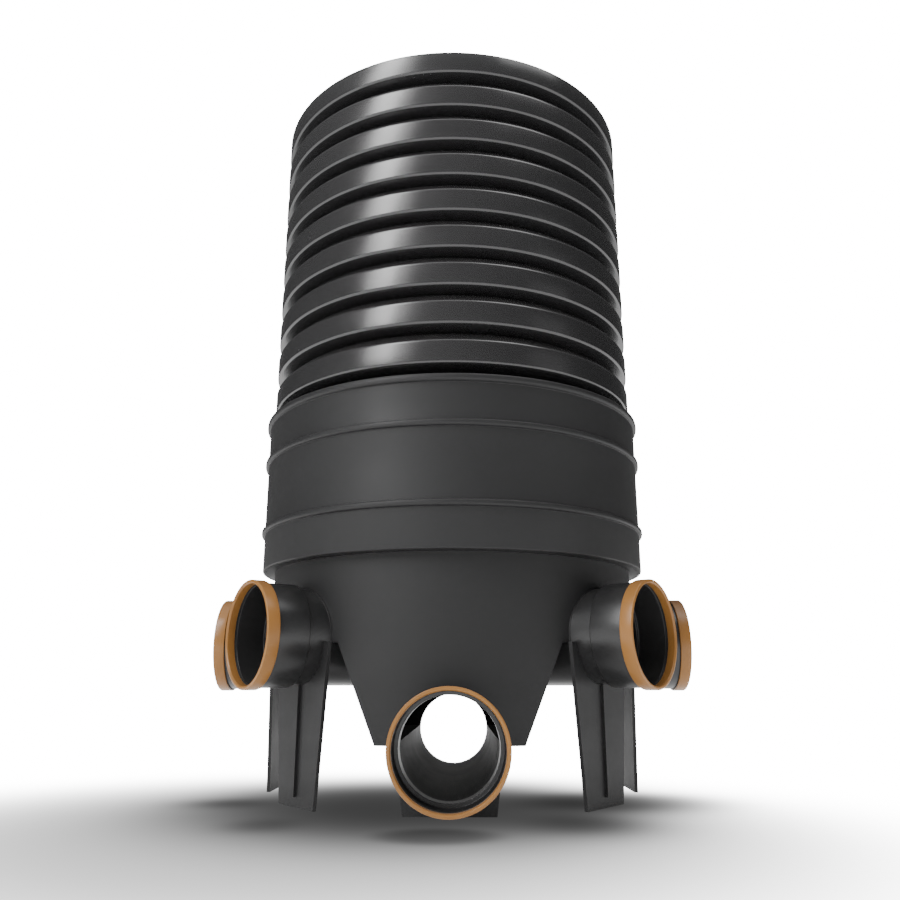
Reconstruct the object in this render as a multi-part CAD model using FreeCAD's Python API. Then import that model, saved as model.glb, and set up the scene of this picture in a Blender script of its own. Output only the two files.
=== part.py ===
import FreeCAD, Part
import math
import os

# Drain inspection chamber, millimetres, +Z up, floor at Z = 0.
# The front of the object faces -Y and its left side faces -X.

# Riser pipe: a single wall, corrugated inside and outside.
RISER_CREST_R = 355.0
CORRUGATION = 55.0
RISER_WALL = 5.0
RIB_PITCH = 71.64
RIB_COUNT = 12
CREST_HEIGHT = 41.5
SLOPE_RISE = 19.3
SLOPE_RUN = 20.0
FLANK_RISE = 1.7
GROOVE_HEIGHT = 5.5

# Working clearances.
WELD_GAP = 0.3
SEAL_GAP = 0.3
RISER_GAP = 1.5

# Chamber wall: a tube with a wider neck, cut to the trough's outline at its foot.
NECK_TOP_Z = 415.82
STEP_Z = 390.9
STEP_WIDTH = 16.4
BASE_WALL = 8.0

# Channel tray: ledges beside a deep trough with sloping sides.
LEDGE_Z = 253.0
TROUGH_TOP_HALF = 179.0
TROUGH_BOTTOM_HALF = 114.5
TROUGH_BOTTOM_Z = 98.0

# Collar round the neck.
COLLAR_WALL = 6.1
COLLAR_TOP_Z = 681.0
LIP_HEIGHT = 14.0
LIP_PROUD = 6.4
LEAD_IN_RUN = 2.5
LEAD_IN_RISE = 5.0
HOOP_HEIGHT = 12.0
HOOP_PROUD = 6.0
UPPER_HOOP_Z = 597.0
LOWER_HOOP_Z = 464.7
COLLAR_EDGE_ROUND = 3.5

# Pipe sockets, measured along their axis from the ring face.
SOCKET_BORE_R = 80.5
SOCKET_WALL = 3.0
SOCKET_LENGTH = 74.0
SOCKET_END_WALL = 8.0
SOCKET_EDGE_ROUND = 2.0
RING_SKIRT = 3.2
RING_LENGTH = 21.0
RING_FLANGE = 14.0
RING_EDGE = 1.5
SEAL_LENGTH = 4.0

# Pipes behind the sockets: stubs on the main channel, open channels on the branches.
MAIN_BORE_R = 74.8
BRANCH_BORE_R = 72.7
PIPE_WALL = 5.0
MAIN_AXIS_Z = 97.7
BRANCH_AXIS_Z = 265.9
MAIN_STUB = 26.2
FRONT_BRANCH_STUB = 19.1
FRONT_BRANCH_OFFSET = 37.0
FRONT_BRANCH_ANGLE = 53.9
REAR_BRANCH_STUB = 36.8
REAR_BRANCH_OFFSET = 55.0
BRANCH_INNER_REACH = 120.0

# Foot plates: one stands square across each bore.
FOOT_INSET = 7.3
REAR_FOOT_INSET = 0.3
FOOT_THICKNESS = 6.0
FOOT_BOTTOM_HALF = 61.5
FOOT_FLARE = 0.125
MAIN_FOOT_BOTTOM_HALF = 70.0
FOOT_RIB_PROUD = 4.5
FOOT_RIB_THICKNESS = 4.0
FOOT_RIB_LIFT = 16.0

Vec = FreeCAD.Vector
UP = Vec(0, 0, 1)
RISER_BORE_R = RISER_CREST_R - CORRUGATION
GROOVE_R = RISER_BORE_R + RISER_WALL
COLLAR_BORE_R = RISER_CREST_R + RISER_GAP
COLLAR_R = COLLAR_BORE_R + COLLAR_WALL
NECK_R = COLLAR_BORE_R - WELD_GAP
WALL_R = NECK_R - STEP_WIDTH
TRAY_R = WALL_R - BASE_WALL - WELD_GAP
TRAY_TOP_Z = LEDGE_Z + BASE_WALL
SOCKET_R = SOCKET_BORE_R + SOCKET_WALL
SOCKET_START = RING_FLANGE + SEAL_LENGTH
RING_R = SOCKET_R + WELD_GAP + RING_SKIRT


def turned(wire_edges):
    """Solid of revolution about Z from edges drawn in the X-Z plane."""
    face = Part.Face(Part.Wire(wire_edges))
    return face.revolve(Vec(0, 0, 0), UP, 360)


def chain(points):
    """Straight edges through (radius, height) points, closed at the end."""
    corners = [Vec(r, 0, z) for r, z in points]
    pairs = zip(corners, corners[1:] + corners[:1])
    return [Part.makeLine(a, b) for a, b in pairs]


def line(a, b):
    """Straight edge between two (radius, height) points."""
    return Part.makeLine(Vec(a[0], 0, a[1]), Vec(b[0], 0, b[1]))


def arc(a, b, c):
    """Circular edge through three (radius, height) points."""
    return Part.Arc(Vec(a[0], 0, a[1]), Vec(b[0], 0, b[1]), Vec(c[0], 0, c[1])).toShape()


def rib_outside(z):
    """Outer profile of one rib and the groove above it, upwards from height z."""
    slope_r = RISER_CREST_R - SLOPE_RUN
    slope_z = z + CREST_HEIGHT + SLOPE_RISE
    groove_z = slope_z + FLANK_RISE
    return [
        (RISER_CREST_R, z),
        (RISER_CREST_R, z + CREST_HEIGHT),
        (slope_r, slope_z),
        (GROOVE_R, groove_z),
        (GROOVE_R, groove_z + GROOVE_HEIGHT),
    ]


def rib_inside(z):
    """Inner profile of the same rib, one wall thickness in from the outside."""
    crest_r = RISER_CREST_R - RISER_WALL
    slope = math.hypot(SLOPE_RUN, SLOPE_RISE)
    shoulder_z = z + CREST_HEIGHT - RISER_WALL * (slope - SLOPE_RISE) / SLOPE_RUN
    bend_z = z + CREST_HEIGHT + SLOPE_RISE - RISER_WALL
    bend_run = (bend_z - shoulder_z) * SLOPE_RUN / SLOPE_RISE
    ridge_z = bend_z + FLANK_RISE
    return [
        (crest_r, z + RISER_WALL),
        (crest_r, shoulder_z),
        (crest_r - bend_run, bend_z),
        (RISER_BORE_R, ridge_z),
        (RISER_BORE_R, ridge_z + GROOVE_HEIGHT + 2 * RISER_WALL),
    ]


def riser_pipe():
    """Corrugated pipe, cut through the crest of its first and last rib."""
    top_z = NECK_TOP_Z + RIB_COUNT * RIB_PITCH
    crest_r = RISER_CREST_R - RISER_WALL
    outside = []
    inside = []
    for n in range(RIB_COUNT):
        outside += rib_outside(NECK_TOP_Z + n * RIB_PITCH)
        inside += rib_inside(NECK_TOP_Z + n * RIB_PITCH)
    outside += [(RISER_CREST_R, top_z), (RISER_CREST_R, top_z + CREST_HEIGHT)]
    inside[0] = (crest_r, NECK_TOP_Z)
    inside += [(crest_r, top_z + RISER_WALL), (crest_r, top_z + CREST_HEIGHT)]
    return turned(chain(outside + inside[::-1]))


def riser_seal():
    """Wedge-shaped rubber ring that fills the lowest groove out to the collar."""
    slope_z = NECK_TOP_Z + CREST_HEIGHT + SLOPE_RISE
    foot_z = slope_z + FLANK_RISE + 2 * SEAL_GAP
    roof_z = slope_z + FLANK_RISE + GROOVE_HEIGHT - 2 * SEAL_GAP
    outer_r = COLLAR_BORE_R - SEAL_GAP
    next_rib_z = NECK_TOP_Z + RIB_PITCH
    grade = SLOPE_RISE / SLOPE_RUN
    toe_r = RISER_CREST_R - WELD_GAP - LEAD_IN_RUN
    toe_z = NECK_TOP_Z + CREST_HEIGHT + (RISER_CREST_R - toe_r) * grade + 2 * SEAL_GAP
    return turned(chain([
        (GROOVE_R + SEAL_GAP, foot_z),
        (RISER_CREST_R - SLOPE_RUN + SEAL_GAP, slope_z + 2 * SEAL_GAP),
        (toe_r, toe_z),
        (outer_r, toe_z + LEAD_IN_RUN),
        (outer_r, next_rib_z - 2 * SEAL_GAP),
        (GROOVE_R + SEAL_GAP, roof_z),
    ]))


def bead(z, height, proud):
    """Rounded bead round the collar, centred on height z, drawn downwards."""
    top = (COLLAR_R, z + height / 2)
    nose = (COLLAR_R + proud, z)
    bottom = (COLLAR_R, z - height / 2)
    return top, arc(top, nose, bottom), bottom


def riser_collar():
    """Sleeve with a bead lip at the top, two hoops and a rounded lower edge."""
    lip_top, lip, lip_bottom = bead(COLLAR_TOP_Z - LIP_HEIGHT / 2, LIP_HEIGHT, LIP_PROUD)
    high_top, high, high_bottom = bead(UPPER_HOOP_Z, HOOP_HEIGHT, HOOP_PROUD)
    low_top, low, low_bottom = bead(LOWER_HOOP_Z, HOOP_HEIGHT, HOOP_PROUD)
    mouth = (COLLAR_BORE_R + LEAD_IN_RUN, COLLAR_TOP_Z)
    throat = (COLLAR_BORE_R, COLLAR_TOP_Z - LEAD_IN_RISE)
    inner_foot = (COLLAR_BORE_R, STEP_Z)
    round_start = (COLLAR_R, STEP_Z + COLLAR_EDGE_ROUND)
    round_end = (COLLAR_R - COLLAR_EDGE_ROUND, STEP_Z)
    share = COLLAR_EDGE_ROUND * (1 - math.sqrt(0.5))
    round_mid = (COLLAR_R - share, STEP_Z + share)
    return turned([
        line(mouth, lip_top), lip,
        line(lip_bottom, high_top), high,
        line(high_bottom, low_top), low,
        line(low_bottom, round_start),
        arc(round_start, round_mid, round_end),
        line(round_end, inner_foot),
        line(inner_foot, throat),
        line(throat, mouth),
    ])


def cylinder(radius, bottom_z, top_z):
    """Upright cylinder about the object's axis."""
    return Part.makeCylinder(radius, top_z - bottom_z, Vec(0, 0, bottom_z))


def outward(angle):
    """Horizontal unit vector, angle in degrees from the front towards the right."""
    turn = math.radians(angle)
    return Vec(math.sin(turn), -math.cos(turn), 0)


def bores():
    """Name, angle, sideways offset, reach, height, bore radius, foot face and half-width."""
    foot = (WALL_R - FOOT_INSET, FOOT_BOTTOM_HALF)
    front = (WALL_R + FRONT_BRANCH_STUB + SOCKET_LENGTH, BRANCH_AXIS_Z, BRANCH_BORE_R) + foot
    rear_foot = (WALL_R - REAR_FOOT_INSET, FOOT_BOTTOM_HALF)
    rear = (WALL_R + REAR_BRANCH_STUB + SOCKET_LENGTH, BRANCH_AXIS_Z, BRANCH_BORE_R) + rear_foot
    main_foot = (WALL_R - FOOT_INSET, MAIN_FOOT_BOTTOM_HALF)
    main = (WALL_R + MAIN_STUB + SOCKET_LENGTH, MAIN_AXIS_Z, MAIN_BORE_R) + main_foot
    return [
        ("front", 0.0, 0.0) + main,
        ("rear", 180.0, 0.0) + main,
        ("left_front", -FRONT_BRANCH_ANGLE, FRONT_BRANCH_OFFSET) + front,
        ("right_front", FRONT_BRANCH_ANGLE, -FRONT_BRANCH_OFFSET) + front,
        ("left_rear", -90.0, -REAR_BRANCH_OFFSET) + rear,
        ("right_rear", 90.0, REAR_BRANCH_OFFSET) + rear,
    ]


def is_main(bore):
    """Whether a bore is an end of the straight main channel."""
    return bore[4] < LEDGE_Z


def axis_point(angle, offset, reach, height):
    """Point on a bore's axis; the offset runs to the right of the outward direction."""
    ahead = outward(angle)
    right = outward(angle + 90.0)
    return ahead * reach + right * offset + Vec(0, 0, height)


def rod(bore, radius, from_reach, to_reach):
    """Round bar on a bore's axis between two reaches from the object's axis."""
    name, angle, offset, reach, height = bore[:5]
    start = axis_point(angle, offset, from_reach, height)
    return Part.makeCylinder(radius, to_reach - from_reach, start, outward(angle))


def pipe_hole_r(bore):
    """Radius of a hole or cut-out that lets a bore's pipe through."""
    return bore[5] + PIPE_WALL + WELD_GAP


def trough_bar(inset, bottom_z, top_z):
    """Bar with the trough's section, moved in from its faces, that runs front to back."""
    lean = (TROUGH_TOP_HALF - TROUGH_BOTTOM_HALF) / (LEDGE_Z - TROUGH_BOTTOM_Z)
    narrow = inset * math.sqrt(1 + lean * lean)
    low = TROUGH_BOTTOM_HALF + (bottom_z - TROUGH_BOTTOM_Z) * lean - narrow
    high = TROUGH_BOTTOM_HALF + (top_z - TROUGH_BOTTOM_Z) * lean - narrow
    corners = [
        Vec(-low, -NECK_R, bottom_z),
        Vec(low, -NECK_R, bottom_z),
        Vec(high, -NECK_R, top_z),
        Vec(-high, -NECK_R, top_z),
    ]
    face = Part.Face(Part.makePolygon(corners + corners[:1]))
    return face.extrude(Vec(0, 2 * NECK_R, 0))


def trough_hollow():
    """Room inside the trough, open at the top."""
    return trough_bar(BASE_WALL, TROUGH_BOTTOM_Z + BASE_WALL, TRAY_TOP_Z + BASE_WALL)


def branch_holes():
    """Clearance bars for the four branch pipes, from inside the trough to past the wall."""
    branches = [bore for bore in bores() if not is_main(bore)]
    return [rod(bore, pipe_hole_r(bore), BRANCH_INNER_REACH, NECK_R) for bore in branches]


def chamber_wall():
    """Stepped tube with pipe holes, cut to the trough's outline below the ledge."""
    inner_r = WALL_R - BASE_WALL
    tube = turned(chain([
        (WALL_R, TROUGH_BOTTOM_Z),
        (WALL_R, STEP_Z),
        (NECK_R, STEP_Z),
        (NECK_R, NECK_TOP_Z),
        (NECK_R - BASE_WALL, NECK_TOP_Z),
        (NECK_R - BASE_WALL, STEP_Z + BASE_WALL),
        (inner_r, STEP_Z + BASE_WALL),
        (inner_r, TROUGH_BOTTOM_Z),
    ]))
    below = cylinder(NECK_R, TROUGH_BOTTOM_Z - BASE_WALL, LEDGE_Z)
    beside_trough = below.cut(trough_bar(0.0, TROUGH_BOTTOM_Z - BASE_WALL, LEDGE_Z + BASE_WALL))
    main_hole = rod(bores()[0], MAIN_BORE_R, -NECK_R, NECK_R)
    return tube.cut(beside_trough.multiFuse(branch_holes() + [main_hole])).removeSplitter()


def channel_tray():
    """Tray with ledges, the trough and the main channel, cut out for the branch pipes."""
    ledge = cylinder(TRAY_R, LEDGE_Z, TRAY_TOP_Z)
    round_form = cylinder(TRAY_R, TROUGH_BOTTOM_Z, LEDGE_Z)
    trough = trough_bar(0.0, TROUGH_BOTTOM_Z, LEDGE_Z).common(round_form)
    main_bore = bores()[0]
    under_floor = cylinder(WALL_R, 0.0, TROUGH_BOTTOM_Z)
    main = rod(main_bore, MAIN_BORE_R + PIPE_WALL, -NECK_R, NECK_R).common(under_floor)
    main_hollow = rod(main_bore, MAIN_BORE_R, -NECK_R, NECK_R)
    form = ledge.multiFuse([trough, main])
    return form.cut(trough_hollow().multiFuse(branch_holes() + [main_hollow])).removeSplitter()


def channel_pipe(bore):
    """Pipe on a bore: a stub outside the wall, or a branch pipe cut open above the ledge."""
    start = TRAY_R / 2 if is_main(bore) else BRANCH_INNER_REACH
    end = bore[3] - SOCKET_LENGTH
    pipe = rod(bore, bore[5] + PIPE_WALL, start, end)
    hollow = rod(bore, bore[5], start - PIPE_WALL, end + PIPE_WALL)
    if is_main(bore):
        return pipe.cut(cylinder(WALL_R + WELD_GAP, 0.0, STEP_Z).fuse(hollow))
    above_ledge = cylinder(WALL_R - BASE_WALL, TRAY_TOP_Z, STEP_Z)
    return pipe.cut(hollow.multiFuse([above_ledge, trough_hollow()])).removeSplitter()


def foot_plate(bore):
    """Foot plate square to a bore, hollowed round the channel that it carries."""
    name, angle, offset, reach, height, bore_r, face_reach, half = bore
    top_z = TROUGH_BOTTOM_Z if is_main(bore) else LEDGE_Z
    top_half = half + FOOT_FLARE * top_z
    right = outward(angle + 90.0)
    ahead = outward(angle)
    back = axis_point(angle, offset, face_reach - FOOT_THICKNESS, 0)
    corners = [
        back - right * half,
        back + right * half,
        back + right * top_half + UP * top_z,
        back - right * top_half + UP * top_z,
    ]
    plate = Part.Face(Part.makePolygon(corners + corners[:1])).extrude(ahead * FOOT_THICKNESS)
    hollow_r = pipe_hole_r(bore)
    rib_height = height - hollow_r - FOOT_RIB_LIFT
    if rib_height > FOOT_RIB_LIFT:
        depth = FOOT_RIB_PROUD + FOOT_THICKNESS / 2
        rib = Part.makeBox(FOOT_RIB_THICKNESS, depth, rib_height)
        rib.translate(Vec(-FOOT_RIB_THICKNESS / 2, -FOOT_RIB_PROUD, FOOT_RIB_LIFT))
        rib.rotate(Vec(0, 0, 0), UP, angle)
        rib.translate(axis_point(angle, offset, face_reach, 0))
        plate = plate.fuse(rib)
    hollow = rod(bore, hollow_r, face_reach - 2 * FOOT_THICKNESS, face_reach + 2 * FOOT_THICKNESS)
    return plate.cut(hollow).removeSplitter()


def placed(shape, bore):
    """Shape drawn about Z from its mouth at Z = 0 downwards, moved onto a bore's mouth."""
    name, angle, offset, reach, height = bore[:5]
    turn = FreeCAD.Rotation(UP, outward(angle))
    shape.Placement = FreeCAD.Placement(axis_point(angle, offset, reach, height), turn)
    return shape


def socket_barrel(bore):
    """Pipe socket: open towards the ring, with a thick end wall at the weld seam."""
    floor = -(SOCKET_LENGTH - SOCKET_END_WALL)
    soft = SOCKET_EDGE_ROUND
    return placed(turned(chain([
        (SOCKET_BORE_R, -SOCKET_START),
        (SOCKET_R, -SOCKET_START),
        (SOCKET_R, -SOCKET_LENGTH + soft),
        (SOCKET_R - soft, -SOCKET_LENGTH),
        (bore[5], -SOCKET_LENGTH),
        (bore[5], floor),
        (SOCKET_BORE_R, floor),
    ])), bore)


def retaining_ring(bore):
    """Ring with a flange across the mouth and a skirt over the socket's end."""
    skirt_r = SOCKET_R + WELD_GAP
    soft = RING_EDGE
    return placed(turned(chain([
        (SOCKET_BORE_R, -soft),
        (SOCKET_BORE_R + soft, 0.0),
        (RING_R - soft, 0.0),
        (RING_R, -soft),
        (RING_R, -RING_LENGTH + soft),
        (RING_R - soft, -RING_LENGTH),
        (skirt_r, -RING_LENGTH),
        (skirt_r, -RING_FLANGE),
        (SOCKET_BORE_R, -RING_FLANGE),
    ])), bore)


def lip_seal(bore):
    """Rubber ring between the flange and the end of the socket."""
    return placed(turned(chain([
        (SOCKET_BORE_R + SEAL_GAP, -SOCKET_START),
        (SOCKET_R, -SOCKET_START),
        (SOCKET_R, -RING_FLANGE),
        (SOCKET_BORE_R + SEAL_GAP, -RING_FLANGE),
    ])), bore)


def main():
    """Build every piece and write each one to its own file."""
    os.makedirs("parts", exist_ok=True)
    pieces = {
        "riser_pipe": riser_pipe(),
        "riser_seal": riser_seal(),
        "riser_collar": riser_collar(),
        "chamber_wall": chamber_wall(),
        "channel_tray": channel_tray(),
    }
    for bore in bores():
        pipe_kind = "stub_" if is_main(bore) else "branch_"
        pieces[pipe_kind + bore[0]] = channel_pipe(bore)
        pieces["socket_" + bore[0]] = socket_barrel(bore)
        pieces["ring_" + bore[0]] = retaining_ring(bore)
        pieces["seal_" + bore[0]] = lip_seal(bore)
        pieces["foot_" + bore[0]] = foot_plate(bore)
    for node, shape in pieces.items():
        shape.exportStep("parts/" + node + ".step")


main()
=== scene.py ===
"""Dresses the drain inspection chamber: shaped pieces, finishes, studio and camera."""

import logging
import math
from dataclasses import dataclass
from enum import Enum

import bpy
import bmesh
from bpy.types import Material, Node, NodeSocket, NodeTree, Object
from mathutils import Matrix, Vector


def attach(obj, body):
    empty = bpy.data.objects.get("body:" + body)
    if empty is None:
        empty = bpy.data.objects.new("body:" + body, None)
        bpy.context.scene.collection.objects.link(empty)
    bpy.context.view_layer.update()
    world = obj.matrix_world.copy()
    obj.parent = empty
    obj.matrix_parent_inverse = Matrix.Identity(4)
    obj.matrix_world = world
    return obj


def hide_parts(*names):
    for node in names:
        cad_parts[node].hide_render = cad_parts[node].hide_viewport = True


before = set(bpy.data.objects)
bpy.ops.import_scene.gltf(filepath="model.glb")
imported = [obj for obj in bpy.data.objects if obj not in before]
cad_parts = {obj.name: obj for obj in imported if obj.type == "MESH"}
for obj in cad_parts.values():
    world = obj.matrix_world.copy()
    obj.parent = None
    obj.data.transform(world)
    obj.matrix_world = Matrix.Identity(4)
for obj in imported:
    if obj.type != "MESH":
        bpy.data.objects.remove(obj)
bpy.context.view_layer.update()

log = logging.getLogger("chamber")
MM = 0.001
BODY = "root"
WHITE = (1.0, 1.0, 1.0, 1.0)
Triple = tuple[float, float, float]


# Finishes


class Gloss(Enum):
    """Roughness of a moulded surface."""

    MATT = 0.62
    SATIN = 0.54
    SILK = 0.31
    SLEEK = 0.24


@dataclass(frozen=True)
class Finish:
    """Colour and surface values of one moulded material.

    Args:
        name: Name of the finish.
        slot: Slot that the finish belongs to; not used.
        base: Linear base colour.
        pale: Linear colour of rubbed edges and scuffs.
        gloss: Shine of the surface.
        specular: Strength of the surface reflection.
        coat: Weight of the clear skin that moulding leaves.
        grain_size: Cells of fine grain per metre.
        grain_depth: Height of the fine grain in metres.
        wave_depth: Height of the broad unevenness in metres.
        edge: Width of the rubbed edge in metres.
        edge_wear: Share of the pale colour on edges.
        scuff: Share of the pale colour in scuffs.
        dust: Share of settled dust on faces that look up.
    """

    name: str
    slot: str
    base: Triple
    pale: Triple
    gloss: Gloss
    specular: float = 0.5
    coat: float = 0.0
    grain_size: float = 900.0
    grain_depth: float = 0.00002
    wave_depth: float = 0.0001
    edge: float = 0.002
    edge_wear: float = 0.3
    scuff: float = 0.1
    dust: float = 0.05


RISER_BLACK = Finish(
    "riser_black", "riser_plastic", (0.016, 0.016, 0.0165), (0.075, 0.075, 0.077), Gloss.SLEEK,
    specular=0.72, coat=0.05, grain_size=700.0, grain_depth=0.0000008, wave_depth=0.00014,
    edge_wear=0.05, scuff=0.06, dust=0.03,
)
BASE_BLACK = Finish(
    "base_black", "base_plastic", (0.012, 0.012, 0.0125), (0.060, 0.060, 0.062), Gloss.SATIN,
    specular=0.38, coat=0.02, grain_size=1100.0, wave_depth=0.00012,
    edge_wear=0.35, scuff=0.06, dust=0.03,
)
PIPE_BLACK = Finish(
    "pipe_black", "base_plastic", (0.016, 0.016, 0.0165), (0.060, 0.060, 0.062), Gloss.SILK,
    specular=0.56, coat=0.02, grain_size=1100.0, wave_depth=0.0001,
    edge_wear=0.15, scuff=0.06, dust=0.03,
)
RING_OCHRE = Finish(
    "ring_ochre", "ring_plastic", (0.31, 0.142, 0.038), (0.48, 0.27, 0.11), Gloss.SILK,
    specular=0.35, coat=0.05, grain_size=1300.0, wave_depth=0.00005,
    edge_wear=0.30, scuff=0.12, dust=0.02,
)
SEAL_BLACK = Finish(
    "seal_black", "seal_rubber", (0.016, 0.016, 0.016), (0.05, 0.05, 0.05), Gloss.MATT,
    specular=0.35, grain_size=1500.0, wave_depth=0.00003, edge_wear=0.10, scuff=0.05,
)


@dataclass(frozen=True)
class Pattern:
    """Noise pattern on object coordinates.

    Args:
        scale: Cells per metre, a number or a socket.
        detail: Octaves of detail.
        low: Noise value that becomes 0 in a mask.
        high: Noise value that becomes 1 in a mask.
        stretch: Scale along each axis.
    """

    scale: object
    detail: float
    low: float = 0.0
    high: float = 1.0
    stretch: Triple = (1.0, 1.0, 1.0)


FINE_DETAIL = 3.0
BROAD_WAVE = Pattern(7.0, 2.0, stretch=(1.0, 1.0, 0.6))
TONE_CLOUD = Pattern(3.5, 4.0, 0.30, 0.70)
WORN_PATCH = Pattern(26.0, 4.0, 0.35, 0.65)
SCUFF_STREAK = Pattern(42.0, 5.0, 0.60, 0.74, (1.0, 1.0, 9.0))
SCUFF_PATCH = Pattern(5.0, 3.0, 0.50, 0.72)
SHEEN_CLOUD = Pattern(11.0, 5.0, stretch=(1.0, 1.0, 1.6))
DUST_PATCH = Pattern(30.0, 5.0, 0.30, 0.75)


def feed(tree: NodeTree, node: Node, values: dict) -> None:
    """Links or sets the inputs of a node.

    Args:
        tree: Node tree that holds the node.
        node: The node.
        values: Socket or plain value for each input, by name or place.
    """
    for label, value in values.items():
        if isinstance(value, NodeSocket):
            tree.links.new(value, node.inputs[label])
        else:
            node.inputs[label].default_value = value


def new_node(tree: NodeTree, kind: str, values: dict, **settings: object) -> Node:
    """Adds a shader node.

    Args:
        tree: Node tree that gets the node.
        kind: Node type without its ShaderNode prefix.
        values: Socket or plain value for each input, by name or place.
        settings: Properties to set on the node first.

    Returns:
        The node.
    """
    node = tree.nodes.new("ShaderNode" + kind)
    for label, value in settings.items():
        setattr(node, label, value)
    feed(tree, node, values)
    return node


def calc(tree: NodeTree, operation: str, first: object, second: object) -> NodeSocket:
    """Adds a math node on two sockets or numbers and returns its output."""
    return new_node(tree, "Math", {0: first, 1: second}, operation=operation).outputs[0]


def ramp(tree: NodeTree, value: object, low: float, high: float) -> NodeSocket:
    """Stretches a value so that low becomes 0 and high becomes 1, and holds it between them."""
    values = {"Value": value, "From Min": low, "From Max": high}
    return new_node(tree, "MapRange", values, interpolation_type="SMOOTHSTEP").outputs["Result"]


def noise(tree: NodeTree, pattern: Pattern) -> NodeSocket:
    """Adds a noise pattern.

    Args:
        tree: Node tree that gets the nodes.
        pattern: The pattern.

    Returns:
        The noise value.
    """
    place = new_node(tree, "TexCoord", {}).outputs["Object"]
    mapping = new_node(tree, "Mapping", {"Vector": place, "Scale": pattern.stretch})
    values = {"Vector": mapping.outputs["Vector"], "Scale": pattern.scale, "Detail": pattern.detail}
    return new_node(tree, "TexNoise", values).outputs["Fac"]


def patches(tree: NodeTree, pattern: Pattern) -> NodeSocket:
    """Adds a noise pattern that is stretched to a mask between its limits."""
    return ramp(tree, noise(tree, pattern), pattern.low, pattern.high)


class SurfaceEffects:
    """Node groups that all moulded finishes share."""

    BEVEL_SAMPLES = 6
    EDGE_TURN = (0.01, 0.16)
    LOOKING_UP = (0.35, 0.95)

    def __init__(self) -> None:
        """Builds each group once."""
        self.grain = self.moulded_grain()
        self.wear = self.rubbed_edges()
        self.scuffs = self.handling_scuffs()
        self.dust = self.settled_dust()

    @staticmethod
    def begin(name: str, inputs: tuple[str, ...], outputs: tuple[str, ...]) -> tuple:
        """Starts a group with number sockets.

        Args:
            name: Name of the group.
            inputs: Names of the inputs.
            outputs: Names of the outputs.

        Returns:
            The group, its input node and its output node.
        """
        group = bpy.data.node_groups.new(name, "ShaderNodeTree")
        for side, labels in (("INPUT", inputs), ("OUTPUT", outputs)):
            for label in labels:
                group.interface.new_socket(name=label, in_out=side, socket_type="NodeSocketFloat")
        return group, group.nodes.new("NodeGroupInput"), group.nodes.new("NodeGroupOutput")

    def moulded_grain(self) -> NodeTree:
        """Fine mould grain over a broad unevenness, as a height in metres.

        Returns:
            The node group.
        """
        inputs = ("Size", "Grain Depth", "Wave Depth")
        group, given, result = self.begin("moulded_grain", inputs, ("Height", "Tone"))
        grain = noise(group, Pattern(given.outputs["Size"], FINE_DETAIL))
        fine = calc(group, "MULTIPLY", grain, given.outputs["Grain Depth"])
        broad = calc(group, "MULTIPLY", noise(group, BROAD_WAVE), given.outputs["Wave Depth"])
        height = calc(group, "ADD", fine, broad)
        feed(group, result, {"Height": height, "Tone": patches(group, TONE_CLOUD)})
        return group

    def rubbed_edges(self) -> NodeTree:
        """Mask that is strong on worn outer edges.

        Returns:
            The node group.
        """
        group, given, result = self.begin("rubbed_edges", ("Width",), ("Mask",))
        soft = new_node(group, "Bevel", {"Radius": given.outputs["Width"]}, samples=self.BEVEL_SAMPLES)
        facing = new_node(group, "NewGeometry", {})
        normals = {0: soft.outputs["Normal"], 1: facing.outputs["Normal"]}
        alike = new_node(group, "VectorMath", normals, operation="DOT_PRODUCT").outputs["Value"]
        turn = ramp(group, calc(group, "SUBTRACT", 1.0, alike), *self.EDGE_TURN)
        feed(group, result, {"Mask": calc(group, "MULTIPLY", turn, patches(group, WORN_PATCH))})
        return group

    def handling_scuffs(self) -> NodeTree:
        """Thin streaks from handling, mostly running round the object, and a cloudy sheen.

        Returns:
            The node group.
        """
        group, given, result = self.begin("handling_scuffs", ("Amount",), ("Mask", "Roughness"))
        both = calc(group, "MULTIPLY", patches(group, SCUFF_STREAK), patches(group, SCUFF_PATCH))
        mask = calc(group, "MULTIPLY", both, given.outputs["Amount"])
        feed(group, result, {"Mask": mask, "Roughness": noise(group, SHEEN_CLOUD)})
        return group

    def settled_dust(self) -> NodeTree:
        """Mask of light dust on faces that look up.

        Returns:
            The node group.
        """
        group, given, result = self.begin("settled_dust", ("Amount",), ("Mask",))
        facing = new_node(group, "NewGeometry", {})
        parts = new_node(group, "SeparateXYZ", {0: facing.outputs["Normal"]})
        up = ramp(group, parts.outputs["Z"], *self.LOOKING_UP)
        both = calc(group, "MULTIPLY", up, patches(group, DUST_PATCH))
        feed(group, result, {"Mask": calc(group, "MULTIPLY", both, given.outputs["Amount"])})
        return group


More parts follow.
